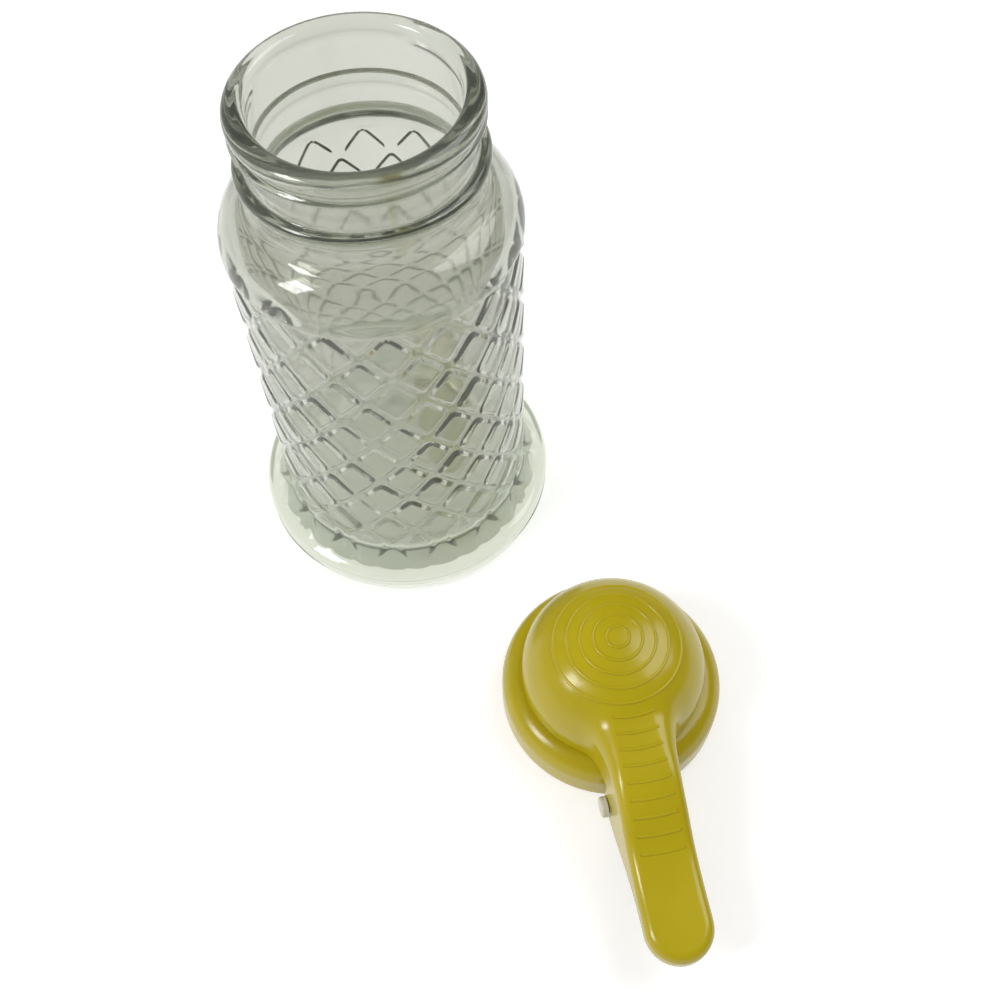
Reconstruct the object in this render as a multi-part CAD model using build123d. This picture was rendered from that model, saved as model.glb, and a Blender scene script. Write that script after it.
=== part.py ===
"""Syrup dispenser: a quilted glass jar and its pouring lid, taken off and laid beside it.

Millimetres, +Z up. The origin is the centre of the jar's foot, on the table. The lid is
modelled about its own axis with the handle along +Y, then placed beside the jar.
"""
from build123d import *
from math import acos, asin, cos, hypot, pi, radians, sin, sqrt, tan
import os

# ---- jar: overall ---------------------------------------------------------------------
JAR_H = 150.0  # foot to lip
GLASS = 3.0  # wall of the body
BODY_R = 37.5  # over the cushions
NECK_R = 28.0  # neck below the beads
BORE_R = 24.0  # mouth
# ---- jar: foot ------------------------------------------------------------------------
FLANGE_R = 44.0  # the widest part of the foot
FLANGE_H = 9.0  # height of its top crease
FLANGE_EDGE = 1.0  # the crease stands in this far from the widest part
FLANGE_ROUND = 2.5  # lower outer edge
FLARE_TOP = 19.0  # where the foot has run into the straight wall
FLANGE_RIBS = 3  # fine ribs round the foot
RIB_H = 0.45
FLOOR_T = 6.5  # glass under the syrup
FLOOR_ROUND = 7.0  # inside corner of the floor
PUNT_R = 35.0  # hollow under the floor
PUNT_H = 1.6
# ---- jar: quilted band ----------------------------------------------------------------
CELLS_ROUND = 16
FACETS = 2 * CELLS_ROUND  # flat strips behind the grooves
ROW_PITCH = 8.8  # half the height of a diamond cell
BAND_TOP = 111.3  # plain glass above this height
FIRST_ROW_DROP = 7.9  # first row's centres below the band's top
CUSHION_H = 0.65  # relief of the cushions
GROOVE_W = 1.7  # between two cushions
CUSHION_SLOPE = 30.0  # their sides, from upright
BITE = 0.3  # how deep the cushions are rooted in the glass
CELL_PHASE = -91.5  # direction of a cell in the first row, degrees
# ---- jar: shoulder and finish ---------------------------------------------------------
SHOULDER_R = 12.2  # convex
NECK_FILLET = 5.0  # concave, shoulder to neck
BORE_FILLET = 8.0  # the same inside
BEAD_DROP = 17.2  # transfer bead below the lip
BEAD_R = 29.9
BEAD_HALF = 1.9
ROOT_R = 27.4  # finish between the beads
LIP_R = 29.2
LIP_DROP = 2.7  # widest part of the lip bead below the top
LIP_HALF = 2.0
LIP_ROUND = 1.6  # inner edge
# ---- lid: screw collar ----------------------------------------------------------------
COLLAR_R = 30.8
COLLAR_WALL = 1.3
COLLAR_FOOT_ROUND = 0.9  # less than the wall
COLLAR_STRAIGHT = 7.8  # height of the straight skirt
COLLAR_SHOULDER = 6.2  # rounding above it
DECK_TOP = 13.8
DECK_T = 2.0
SOCKET_ROUND = 2.8  # inside corner of the skirt
SPOUT_R = 14.5  # inside the pouring spout
SPOUT_WALL = 1.5
SPOUT_TOP = 28.2
SPOUT_LIP = 1.2  # flare of its rim
GASKET_T = 0.8
GASKET_CLEAR = 0.3
# ---- lid: cover and lever -------------------------------------------------------------
LID_TOP = 36.9
DOME_R = 25.3
DOME_ROUND = 18.5  # wall to crown
CROWN_R = 43.0
DOME_WALL = 1.8
SEAT_CLEAR = 0.2  # cover over the collar's deck
RINGS = 5
RING_FIRST = 3.05
RING_PITCH = 3.55
RING_W = 0.9  # width of rings and ridges
RING_PROUD = 0.33
RING_ROOT = 0.9  # how deep they are rooted in the wall
RIDGES = 9
RIDGE_FIRST = 20.4
RIDGE_PITCH = 4.1
RIDGE_REACH = 5.5  # half their length
LEVER_END = 79.2  # tip, from the lid's axis
LEVER_HALF = 8.7
LEVER_WALL = 1.8
CHEEK_BACK = 31.7  # rear edge of the two cheeks
CHEEK_FOOT = 2.0
CHEEK_ROUND = 2.4
CHEEK_FRONT = 39.5
CHEEK_RISE = 59.0  # where the underside levels out towards the thumb end
TIP_DROP = 1.6
TIP_UNDER = 14.9  # underside of the thumb end
TIP_EASE = 8.0  # length over which the underside levels out
RIB_AT = 43.0  # cross rib in the lever
RIB_T = 1.6
SEAL_T = 1.8
SEAL_CLEAR = 0.1
SEAL_STEM_R = 5.0
SPIGOT_R = 2.5  # holds the seal on its stem
SPIGOT_L = 1.1
# ---- lid: hinge -----------------------------------------------------------------------
PIN_Y = 35.0
PIN_Z = 7.0
PIN_R = 1.5
PIN_CLEAR = 0.05
PIN_HEAD_R = 2.8
PIN_HEAD_T = 1.9
PIN_HEAD_GAP = 0.5
PIN_BARB = 0.35  # snap barb over the shaft
EAR_T = 2.6
EAR_R = 4.3
EAR_CLEAR = 0.3
WIRE_R = 0.4
WIRE_SIDES = 6
COIL_R = 2.7
COIL_TURNS = 3.25
COIL_PITCH = 1.5
# ---- where the lid lies ---------------------------------------------------------------
LID_X = 47.7
LID_Y = -85.8
LID_TURN = -179.0  # handle towards the viewer

# ---- cutting blocks -------------------------------------------------------------------
TALL = 60.0  # reaches past the whole lid
OVERCUT = 1.0  # a hollow is cut this far past the face that it opens

# (distance from the lid's axis, top height, half width, corner radius) along the lever
LEVER_SECTIONS = [
    (12.0, 33.6, 13.4, 9.0),
    (20.0, 31.4, 12.0, 7.6),
    (28.0, 30.3, 9.7, 4.8),
    (36.0, 28.9, 8.8, 3.0),
    (44.0, 25.9, LEVER_HALF, 2.6),
    (52.0, 22.3, LEVER_HALF, 2.6),
    (60.0, 20.6, LEVER_HALF, 2.6),
    (70.0, 20.0, LEVER_HALF, 2.6),
    (LEVER_END + 2.0, 19.2, LEVER_HALF, 2.6),
]


def revolved(*edges):
    """Solid of revolution about Z from edges drawn in the XZ plane."""
    wire = Wire(edges)
    return revolve(Plane.XZ * make_face(wire.edges()), Axis.Z)


# ---- jar ------------------------------------------------------------------------------
def s_curve(body_r, neck_r, round_out, round_in):
    """Convex then concave arc from the body up to the neck, and the neck's lower end."""
    low = (body_r - round_out, BAND_TOP)
    rise = sqrt((round_out + round_in) ** 2 - (neck_r + round_in - low[0]) ** 2)
    high = (neck_r + round_in, BAND_TOP + rise)
    turn = acos((high[0] - low[0]) / (round_out + round_in))
    meet = (low[0] + round_out * cos(turn), low[1] + round_out * sin(turn))
    mid_out = (low[0] + round_out * cos(turn / 2), low[1] + round_out * sin(turn / 2))
    half = pi + turn / 2
    mid_in = (high[0] + round_in * cos(half), high[1] + round_in * sin(half))
    end = (neck_r, high[1])
    return ThreePointArc((body_r, BAND_TOP), mid_out, meet), ThreePointArc(meet, mid_in, end)


def foot_ribs():
    """Low sharp-crested ribs between the foot's rounded edge and its crease."""
    pitch = (FLANGE_H - FLANGE_EDGE - FLANGE_ROUND) / FLANGE_RIBS
    edges = []
    for k in range(FLANGE_RIBS):
        low = (FLANGE_R, FLANGE_ROUND + k * pitch)
        crest = (FLANGE_R + RIB_H, low[1] + pitch / 2)
        edges += [Line(low, crest), Line(crest, (FLANGE_R, low[1] + pitch))]
    return edges


def jar_blank():
    """The jar without its quilting: outer revolve less the inside."""
    groove_r = BODY_R - CUSHION_H
    core_r = groove_r * cos(pi / FACETS) - BITE
    crease = (FLANGE_R - FLANGE_EDGE, FLANGE_H)
    rise = FLARE_TOP - FLANGE_H
    reach = crease[0] - groove_r
    flare = (reach**2 + rise**2) / (2 * reach)
    half = asin(rise / flare) / 2
    flare_mid = (groove_r + flare * (1 - cos(half)), FLARE_TOP - flare * sin(half))
    side = FLANGE_R, FLANGE_ROUND
    foot = (FLANGE_R - FLANGE_ROUND, 0)
    diag = FLANGE_ROUND * (1 - sqrt(0.5))
    bulge, blend = s_curve(BODY_R, NECK_R, SHOULDER_R, NECK_FILLET)
    bead_z = JAR_H - BEAD_DROP
    lip_z = JAR_H - LIP_DROP
    top = (LIP_R - LIP_DROP, JAR_H)
    lip_low = (ROOT_R, lip_z - LIP_HALF)
    inner = (BORE_R, JAR_H - LIP_ROUND)
    outer = [
        Line((0, PUNT_H), (PUNT_R - PUNT_H, PUNT_H)),
        Line((PUNT_R - PUNT_H, PUNT_H), (PUNT_R, 0)),
        Line((PUNT_R, 0), foot),
        ThreePointArc(foot, (FLANGE_R - diag, diag), side),
        *foot_ribs(),
        Line((FLANGE_R, FLANGE_H - FLANGE_EDGE), crease),
        ThreePointArc(crease, flare_mid, (groove_r, FLARE_TOP)),
        Line((groove_r, FLARE_TOP), (core_r, FLARE_TOP)),
        Line((core_r, FLARE_TOP), (core_r, BAND_TOP)),
        Line((core_r, BAND_TOP), (BODY_R, BAND_TOP)),
        bulge,
        blend,
        Line(blend @ 1, (NECK_R, bead_z - BEAD_HALF)),
        ThreePointArc((NECK_R, bead_z - BEAD_HALF), (BEAD_R, bead_z), (ROOT_R, bead_z + BEAD_HALF)),
        Line((ROOT_R, bead_z + BEAD_HALF), lip_low),
        TangentArc((LIP_R, lip_z), lip_low, tangent=(0, -1)),
        TangentArc((LIP_R, lip_z), top, tangent=(0, 1)),
        Line(top, (BORE_R + LIP_ROUND, JAR_H)),
        ThreePointArc((BORE_R + LIP_ROUND, JAR_H),
                      (BORE_R + LIP_ROUND * (1 - sqrt(0.5)), JAR_H - LIP_ROUND * (1 - sqrt(0.5))),
                      inner),
    ]
    inside_r = BODY_R - CUSHION_H - GLASS
    bulge_in, blend_in = s_curve(inside_r, BORE_R, SHOULDER_R - GLASS, BORE_FILLET)
    corner = FLOOR_ROUND * (1 - sqrt(0.5))
    bore = [
        Line(inner, blend_in @ 1),
        blend_in,
        bulge_in,
        Line((inside_r, BAND_TOP), (inside_r, FLOOR_T + FLOOR_ROUND)),
        ThreePointArc((inside_r, FLOOR_T + FLOOR_ROUND), (inside_r - corner, FLOOR_T + corner),
                      (inside_r - FLOOR_ROUND, FLOOR_T)),
        Line((inside_r - FLOOR_ROUND, FLOOR_T), (0, FLOOR_T)),
        Line((0, FLOOR_T), (0, PUNT_H)),
    ]
    return revolved(*outer, *bore)


def cushion():
    """One raised diamond with a flat top and sloped sides, rooted behind the grooves."""
    half_w = (BODY_R - CUSHION_H) * sin(pi / CELLS_ROUND)
    inradius = half_w * ROW_PITCH / hypot(half_w, ROW_PITCH)
    share = 1 - GROOVE_W / 2 / inradius
    root = (BODY_R - CUSHION_H) * cos(pi / CELLS_ROUND) - BITE
    rise = BODY_R - root
    lean = 1 - rise * tan(radians(CUSHION_SLOPE)) / inradius / share
    ends = []
    for up, size in ((0, share), (rise, share * lean)):
        outline = Polygon((half_w * size, 0), (0, ROW_PITCH * size),
                          (-half_w * size, 0), (0, -ROW_PITCH * size))
        ends.append(Plane((root + up, 0, 0), (0, 1, 0), (1, 0, 0)) * outline)
    return loft([end.faces()[0] for end in ends], ruled=True)


def quilting():
    """Faceted band of grooves and its rows of cushions, every second row half a cell on."""
    step = 360 / CELLS_ROUND
    core_r = (BODY_R - CUSHION_H) * cos(pi / FACETS) - 3 * BITE
    height = BAND_TOP - FLARE_TOP
    facets = Rot(0, 0, CELL_PHASE) * RegularPolygon(BODY_R - CUSHION_H, FACETS)
    band = extrude(facets, height) - Pos(0, 0, height / 2) * Cylinder(core_r, height)
    rows = int((height - FIRST_ROW_DROP) / ROW_PITCH) + 1
    keep = Pos(0, 0, height / 2) * Box(4 * BODY_R, 4 * BODY_R, height)
    raised = [Pos(0, 0, FLARE_TOP) * band]
    for row in range(rows):
        z = BAND_TOP - FIRST_ROW_DROP - row * ROW_PITCH
        first = Pos(0, 0, z) * cushion()
        if row == 0 or z - ROW_PITCH < FLARE_TOP:
            first = (first & Pos(0, 0, FLARE_TOP) * keep).solid()
        turn = CELL_PHASE + row % 2 * step / 2
        raised += [Rot(0, 0, turn + k * step) * first for k in range(CELLS_ROUND)]
    return raised


def glass_jar():
    return jar_blank() + quilting()


# ---- lid: collar ----------------------------------------------------------------------
def ear_gap():
    return LEVER_HALF - LEVER_WALL - EAR_CLEAR


def screw_collar():
    """Skirt, rounded shoulder and deck, bored for the spout, with two hinge ears."""
    root = COLLAR_R - COLLAR_WALL
    low = COLLAR_FOOT_ROUND
    lean = COLLAR_SHOULDER - sqrt(COLLAR_SHOULDER**2 - (DECK_TOP - COLLAR_STRAIGHT) ** 2)
    ledge = COLLAR_R - lean
    half = asin((DECK_TOP - COLLAR_STRAIGHT) / COLLAR_SHOULDER) / 2
    centre = COLLAR_R - COLLAR_SHOULDER
    mid = (centre + COLLAR_SHOULDER * cos(half), COLLAR_STRAIGHT + COLLAR_SHOULDER * sin(half))
    under = DECK_TOP - DECK_T
    corner = (root - SOCKET_ROUND, under)
    inner_mid = (corner[0] + SOCKET_ROUND * sqrt(0.5), under - SOCKET_ROUND * (1 - sqrt(0.5)))
    tube = SPOUT_R + SPOUT_WALL
    collar = revolved(
        Line((root, 0), (COLLAR_R - low, 0)),
        ThreePointArc((COLLAR_R - low, 0), (COLLAR_R - low * (1 - sqrt(0.5)), low * (1 - sqrt(0.5))),
                      (COLLAR_R, low)),
        Line((COLLAR_R, low), (COLLAR_R, COLLAR_STRAIGHT)),
        ThreePointArc((COLLAR_R, COLLAR_STRAIGHT), mid, (ledge, DECK_TOP)),
        Line((ledge, DECK_TOP), (tube, DECK_TOP)),
        Line((tube, DECK_TOP), (tube, under)),
        Line((tube, under), corner),
        ThreePointArc(corner, inner_mid, (root, under - SOCKET_ROUND)),
        Line((root, under - SOCKET_ROUND), (root, 0)),
    )
    return collar + hinge_ears() - pin_bore(EAR_R + COLLAR_R)


def pour_spout():
    """Tube with a flared rim, fast in the deck."""
    tube = SPOUT_R + SPOUT_WALL
    neck = SPOUT_TOP - 2 * SPOUT_LIP
    low = DECK_TOP - DECK_T
    points = [(SPOUT_R, low), (tube, low), (tube, neck), (tube + SPOUT_LIP, SPOUT_TOP),
              (tube, SPOUT_TOP), (SPOUT_R, neck), (SPOUT_R, low)]
    return revolved(*(Line(a, b) for a, b in zip(points, points[1:])))


def hinge_ears():
    """Two ears that run out from the skirt and end round about the pin."""
    wide = ear_gap()
    back = sqrt(COLLAR_R**2 - wide**2) - COLLAR_WALL / 2
    outline = Pos(PIN_Y, PIN_Z) * Circle(EAR_R) + Pos((back + PIN_Y) / 2, PIN_Z) * Rectangle(
        PIN_Y - back, 2 * EAR_R)
    plate = extrude(Plane.YZ * outline, EAR_T)
    return [Pos(wide - EAR_T, 0, 0) * plate, Pos(-wide, 0, 0) * plate]


def pin_bore(length):
    return Pos(0, PIN_Y, PIN_Z) * Rot(0, 90, 0) * Cylinder(PIN_R + PIN_CLEAR, length)


def lip_gasket():
    """Flat ring that the jar's lip presses against the deck."""
    inner = BORE_R + GASKET_CLEAR
    outer = COLLAR_R - COLLAR_WALL - SOCKET_ROUND - GASKET_CLEAR
    return Pos(0, 0, DECK_TOP - DECK_T - GASKET_T / 2) * (
        Cylinder(outer, GASKET_T) - Cylinder(inner, GASKET_T))


# ---- lid: cover and lever -------------------------------------------------------------
def dome(inset):
    """Cover's outside, or its hollow when inset by the wall: crown, round shoulder, wall."""
    crown, round_r, wall = CROWN_R - inset, DOME_ROUND - inset, DOME_R - inset
    crown_z = LID_TOP - CROWN_R
    across = DOME_R - DOME_ROUND
    up = sqrt((CROWN_R - DOME_ROUND) ** 2 - across**2)
    turn = asin(across / (CROWN_R - DOME_ROUND))
    meet = (crown * sin(turn), crown_z + crown * cos(turn))
    shoulder_z = crown_z + up
    half = (pi / 2 - turn) / 2
    mid = (across + round_r * cos(half), shoulder_z + round_r * sin(half))
    foot = DECK_TOP + SEAT_CLEAR - (OVERCUT if inset else 0)
    return revolved(
        Line((0, foot), (wall, foot)),
        Line((wall, foot), (wall, shoulder_z)),
        ThreePointArc((wall, shoulder_z), mid, meet),
        ThreePointArc(meet, (crown * sin(turn / 2), crown_z + crown * cos(turn / 2)), (0, crown_z + crown)),
        Line((0, crown_z + crown), (0, foot)),
    )


def lever_loft(inset):
    """Handle from the dome to the thumb end, through sections that narrow and flatten."""
    sections = []
    for y, top, half, corner in LEVER_SECTIONS:
        w, t, c = half - inset, top - inset, corner - inset / 2
        outline = Polygon((w, 0), (w, t), (-w, t), (-w, 0), align=None)
        tops = outline.vertices().sort_by(Axis.Y)[-2:]
        sections.append(Plane((0, y, 0), (1, 0, 0), (0, -1, 0)) * fillet(tops, c))
    return loft([s.faces()[0] for s in sections])


def lever_side():
    """Side outline: dome foot, cheeks round the hinge, then up to the thumb end."""
    foot = DECK_TOP + SEAT_CLEAR
    side = Polygon(
        (0, TALL), (0, foot), (CHEEK_BACK, foot), (CHEEK_BACK, CHEEK_FOOT),
        (CHEEK_FRONT, CHEEK_FOOT), (CHEEK_RISE, TIP_UNDER - TIP_DROP),
        (CHEEK_RISE + TIP_EASE, TIP_UNDER), (LEVER_END + TIP_EASE, TIP_UNDER),
        (LEVER_END + TIP_EASE, TALL), align=None)
    low = side.vertices().sort_by(Axis.Y)[:2]
    return Pos(-TALL / 2, 0, 0) * extrude(Plane.YZ * fillet(low, CHEEK_ROUND), TALL)


def lever_plan(inset):
    """Plan outline: a straight strip with a round thumb end."""
    half = LEVER_HALF - inset
    centre = LEVER_END - LEVER_HALF
    strip = Pos(0, centre / 2) * Rectangle(TALL, centre) + Pos(0, centre) * Circle(half)
    return extrude(strip, TALL)


def crown_height(r):
    """Height of the cover's top at a distance from its axis."""
    across = DOME_R - DOME_ROUND
    turn = asin(across / (CROWN_R - DOME_ROUND))
    if r < CROWN_R * sin(turn):
        return LID_TOP - CROWN_R + sqrt(CROWN_R**2 - r**2)
    up = sqrt((CROWN_R - DOME_ROUND) ** 2 - across**2)
    return LID_TOP - CROWN_R + up + sqrt(DOME_ROUND**2 - (r - across) ** 2)


def lever_height(solid, y):
    """Height of the handle's top on its centre line, read off the solid."""
    hits = solid.find_intersection_points(Axis((0, y, 2 * LID_TOP), (0, 0, -1)))
    return max(point.Z for point, _ in hits)


def raised_line(r, z):
    """Low round wall about the lid's axis, its top standing a little above the surface."""
    tall = RING_PROUD + RING_ROOT
    wall = Cylinder(r + RING_W / 2, tall) - Cylinder(r - RING_W / 2, tall)
    return Pos(0, 0, z + RING_PROUD - tall / 2) * wall


def rings():
    radii = [RING_FIRST + k * RING_PITCH for k in range(RINGS)]
    return [raised_line(r, crown_height(r)) for r in radii]


def ridges(handle):
    """Thumb ridges: arcs about the lid's axis across the top of the handle."""
    out = []
    for k in range(RIDGES):
        r = RIDGE_FIRST + k * RIDGE_PITCH
        strip = Pos(0, r, LID_TOP / 2) * Box(2 * RIDGE_REACH, RIDGE_PITCH, 2 * LID_TOP)
        out.append(raised_line(r, lever_height(handle, r)) & strip)
    return out


def lever_cover():
    """Domed cover and thumb lever in one moulding, open underneath."""
    handle = lever_loft(0) & lever_side() & lever_plan(0)
    channel = lever_loft(LEVER_WALL) & lever_plan(LEVER_WALL)
    keep = Pos(0, RIB_AT, TALL / 2 + rib_foot()) * Box(2 * LEVER_HALF, RIB_T, TALL)
    channel = channel - dome(0) - keep
    inside = LID_TOP - DOME_WALL - seal_top()
    stem = Pos(0, 0, seal_top() + inside / 2) * Cylinder(SEAL_STEM_R, inside)
    spigot = Pos(0, 0, seal_top() - SPIGOT_L / 2) * Cylinder(SPIGOT_R, SPIGOT_L)
    body = dome(0) + handle - [dome(DOME_WALL), channel, pin_bore(4 * LEVER_HALF)]
    return body + [stem, spigot, *rings(), *ridges(handle)]


def rib_foot():
    return PIN_Z + COIL_R + WIRE_R + SEAL_CLEAR


def seal_top():
    return SPOUT_TOP + SEAL_CLEAR + SEAL_T


def pour_seal():
    """Soft disc under the crown that closes the spout."""
    disc = Pos(0, 0, seal_top() - SEAL_T / 2) * Cylinder(SPOUT_R + SPOUT_WALL + SPOUT_LIP / 2, SEAL_T)
    depth = SPIGOT_L + SEAL_CLEAR
    return disc - Pos(0, 0, seal_top() - depth / 2) * Cylinder(SPIGOT_R + PIN_CLEAR, depth)


# ---- lid: hinge -----------------------------------------------------------------------
def hinge_pin():
    """Pin with a flat head at one side and a snap barb at the other."""
    side = LEVER_HALF + PIN_HEAD_GAP
    shaft = Cylinder(PIN_R, 2 * side)
    head = Pos(0, 0, side + PIN_HEAD_T / 2) * Cylinder(PIN_HEAD_R, PIN_HEAD_T)
    head = fillet(head.edges().group_by(Axis.Z)[-1], PIN_HEAD_T / 3)
    barb = Pos(0, 0, -side - PIN_R / 2) * Cone(PIN_R / 2, PIN_R + PIN_BARB, PIN_R)
    return Pos(0, PIN_Y, PIN_Z) * Rot(0, 90, 0) * (shaft + head + barb)


def return_spring():
    """Torsion coil round the pin: one leg under the lever's rib, one against the skirt."""
    half = COIL_TURNS * COIL_PITCH / 2

    def at(turn):
        x = turn * COIL_PITCH - half
        angle = 2 * pi * turn
        return x, PIN_Y - COIL_R * sin(angle), PIN_Z + COIL_R * cos(angle)

    quarters = [k / 4 for k in range(int(4 * COIL_TURNS))]
    path = Wire([ThreePointArc(at(t), at(t + 1 / 8), at(t + 1 / 4)) for t in quarters])
    coil = sweep(Plane(path @ 0, z_dir=path % 0) * RegularPolygon(WIRE_R, WIRE_SIDES), path)
    under_rib = (-half, RIB_AT + RIB_T / 2, PIN_Z + COIL_R)
    on_skirt = (half, sqrt(COLLAR_R**2 - half**2) + WIRE_R + SEAL_CLEAR, PIN_Z - EAR_R)
    return coil + rod(at(0), under_rib) + rod(at(COIL_TURNS), on_skirt)


def rod(start, end):
    """Straight length of the spring's wire, let into the coil's end."""
    line = Line(start, end)
    wire = sweep(Plane(start, z_dir=line % 0) * RegularPolygon(WIRE_R, WIRE_SIDES), line)
    return wire + Pos(*start) * Box(WIRE_R, WIRE_R, WIRE_R)


def placed(shape):
    return Pos(LID_X, LID_Y, 0) * Rot(0, 0, LID_TURN) * shape


PARTS = {
    "glass_jar": glass_jar(),
    "screw_collar": placed(screw_collar()),
    "pour_spout": placed(pour_spout()),
    "lip_gasket": placed(lip_gasket()),
    "lever_cover": placed(lever_cover()),
    "pour_seal": placed(pour_seal()),
    "hinge_pin": placed(hinge_pin()),
    "return_spring": placed(return_spring()),
}

os.makedirs("parts", exist_ok=True)
for name, shape in PARTS.items():
    export_step(shape, f"parts/{name}.step")
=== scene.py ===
"""Syrup dispenser: a quilted glass jar with its yellow pouring lid lying beside it."""
import math

import bmesh
import bpy
import numpy as np
from mathutils import Matrix, Vector


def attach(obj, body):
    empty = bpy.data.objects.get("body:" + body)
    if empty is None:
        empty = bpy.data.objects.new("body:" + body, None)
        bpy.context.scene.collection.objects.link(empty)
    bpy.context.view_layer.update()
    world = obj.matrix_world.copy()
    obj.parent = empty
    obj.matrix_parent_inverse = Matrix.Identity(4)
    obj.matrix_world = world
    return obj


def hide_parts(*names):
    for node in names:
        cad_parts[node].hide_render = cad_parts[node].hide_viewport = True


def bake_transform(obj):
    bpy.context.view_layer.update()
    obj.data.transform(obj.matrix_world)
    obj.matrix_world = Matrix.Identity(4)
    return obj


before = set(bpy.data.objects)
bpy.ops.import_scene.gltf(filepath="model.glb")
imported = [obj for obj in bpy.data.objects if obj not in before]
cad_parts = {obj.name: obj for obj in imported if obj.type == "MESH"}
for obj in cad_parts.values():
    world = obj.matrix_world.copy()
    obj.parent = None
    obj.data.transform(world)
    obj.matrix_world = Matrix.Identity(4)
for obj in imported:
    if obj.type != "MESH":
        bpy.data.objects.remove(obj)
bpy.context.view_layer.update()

MM = 0.001

# ---- jar, in millimetres ----------------------------------------------------------------
JAR_H = 150.0
GLASS = 3.0  # wall of the body
BODY_R = 37.5  # over the cushions
NECK_R = 28.0  # neck below the beads
BORE_R = 24.0  # mouth
SHOULDER_R = 12.2  # convex
NECK_FILLET = 5.0  # concave, shoulder to neck
BEAD_Z = 132.8  # transfer bead
BEAD_ROUND = 2.0
ROOT_R = 27.4  # finish between the beads
ROOT_SPAN = (136.0, 145.0)
LIP_R = 29.2
LIP_DROP = 2.7  # widest part of the lip bead below the top
LIP_HALF = 2.0  # its round below that
LIP_ROUND = 1.6  # inner edge
THREAD_PITCH = 3.0
THREAD_START = 150.0  # degrees
THREAD_TURNS = 0.75
THREAD_DROP = 7.2  # where it starts, below the lip
THREAD_HALF = 1.5
THREAD_RUN_OUT = 0.02  # share of a turn
THREAD_SPAN = (138.0, 148.5)
FLOOR_T = 6.5  # glass under the syrup
FLOOR_ROUND = 7.0
PUNT_R = 35.0  # hollow under the floor
PUNT_H = 1.6
FLANGE_R = 44.0  # foot, between its ribs
FLANGE_H = 9.0
FLANGE_EDGE = 1.0  # its top crease stands in this far
FLANGE_ROUND = 2.5  # lower outer edge
FLANGE_RIBS = 3
RIBBED_H = 5.5  # height that the ribs share
RIB_PROUD = 0.45
RIB_HALF_H = 0.85
FLARE_TOP = 19.0  # where the foot has run into the straight wall
# (waves round the jar, height of one radian, start, share) of the slight waves of blown glass
WAVES = ((3, 19, 0.0, 1.0), (5, -13, 1.3, 0.7), (2, 9, 4.0, 0.5), (11, 6, 0.0, 0.45))
WAVE_DEPTH = 0.26
WAVE_SPAN = (14.0, 125.0)

# ---- quilting, in millimetres -----------------------------------------------------------
CELLS_ROUND = 16
ROW_PITCH = 8.8  # half the height of a diamond cell
CELL_PHASE = -91.5  # direction of a cell in the first row, degrees
BAND_TOP = 111.3  # plain glass above this height
BAND_LOW = 9.6
BAND_FADE = 1.2  # height over which the cushions die out at the foot
FIRST_ROW = 103.4
CUSHION_H = 1.0
GROOVE_HALF = 0.4
CUSHION_BEVEL = 1.2
CUSHION_CROWN = 0.35  # share of the relief
CUSHION_CORNER = 2.6
MESH_LINES = np.array([0.0, 0.4, 0.7, 1.3, 1.6, 2.4, 3.7])  # in from a groove's middle
EDGE_LINES = (0.25, 0.5, 0.75, 1.0)  # down from the band's top
GROOVE_R = BODY_R - CUSHION_H
CELL_HALF = GROOVE_R * math.sin(math.pi / CELLS_ROUND)
CELL_INRADIUS = CELL_HALF * ROW_PITCH / math.hypot(CELL_HALF, ROW_PITCH)
FLARE_REACH = FLANGE_R - FLANGE_EDGE - GROOVE_R
FLARE = (FLARE_REACH**2 + (FLARE_TOP - FLANGE_H) ** 2) / 2 / FLARE_REACH  # radius, wall into foot

# ---- lid, in millimetres from its own axis ----------------------------------------------
COLLAR_R = 30.8
COLLAR_WALL = 1.3
COLLAR_FOOT_ROUND = 0.9
COLLAR_STRAIGHT = 7.8  # height of the straight skirt
COLLAR_SHOULDER = 6.2  # rounding above it
SOCKET_ROUND = 2.8  # inside corner of the skirt
SKIRT_THREAD_LOW = 2.4
SKIRT_THREAD_TURNS = 1.2
SKIRT_THREAD_R = 0.8
DECK_TOP = 13.8
DECK_T = 2.0
SPOUT_R = 14.5  # inside the pouring spout
SPOUT_WALL = 1.5
SPOUT_TOP = 28.2
SPOUT_LIP = 1.2  # flare of its rim
LID_TOP = 36.9
DOME_R = 25.3
DOME_ROUND = 18.5  # wall to crown
CROWN_R = 43.0
COVER_FOOT = 14.0
WALL = 1.8  # of dome and lever
STEM_R = 5.0  # holds the seal under the crown
STEM_FOOT = 30.1
RINGS = 5
RING_FIRST = 3.05
RING_PITCH = 3.55
RIDGES = 9
RIDGE_FIRST = 20.4
RIDGE_PITCH = 4.1
RIDGE_REACH = 5.6  # half their length
LINE_R = 0.5  # bead of the rings and ridges
LINE_PROUD = 0.3
LEVER_START = 9.0
LEVER_END = 79.2  # tip
LEVER_HALF = 8.7
LEVER_EDGE = 0.8  # least rounding inside
CHEEK_BACK = 31.7  # rear edge of the two cheeks
CHEEK_FOOT = 2.0
CHEEK_ROUND = 2.4
CHEEK_FRONT = 39.5
CHEEK_RISE = 59.0  # where the underside levels out towards the thumb end
TIP_UNDER = 14.9  # underside of the thumb end
TIP_DROP = 1.6
TIP_EASE = 8.0  # length over which the underside levels out
RAMP_END = 50.0  # the underside's slope is straight up to here
RIB_AT = 43.0  # cross rib in the lever
RIB_HALF = 0.8
RIB_FOOT = 10.2
PIN_Y = 35.0
PIN_Z = 7.0
PIN_R = 1.5
PIN_CLEAR = 0.05
EAR_R = 4.3
EAR_T = 2.6
EAR_CLEAR = 0.3
EAR_WIDE = LEVER_HALF - WALL - EAR_CLEAR
WIRE_R = 0.4
COIL_R = 2.7
COIL_TURNS = 3.25
COIL_PITCH = 1.5
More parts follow.
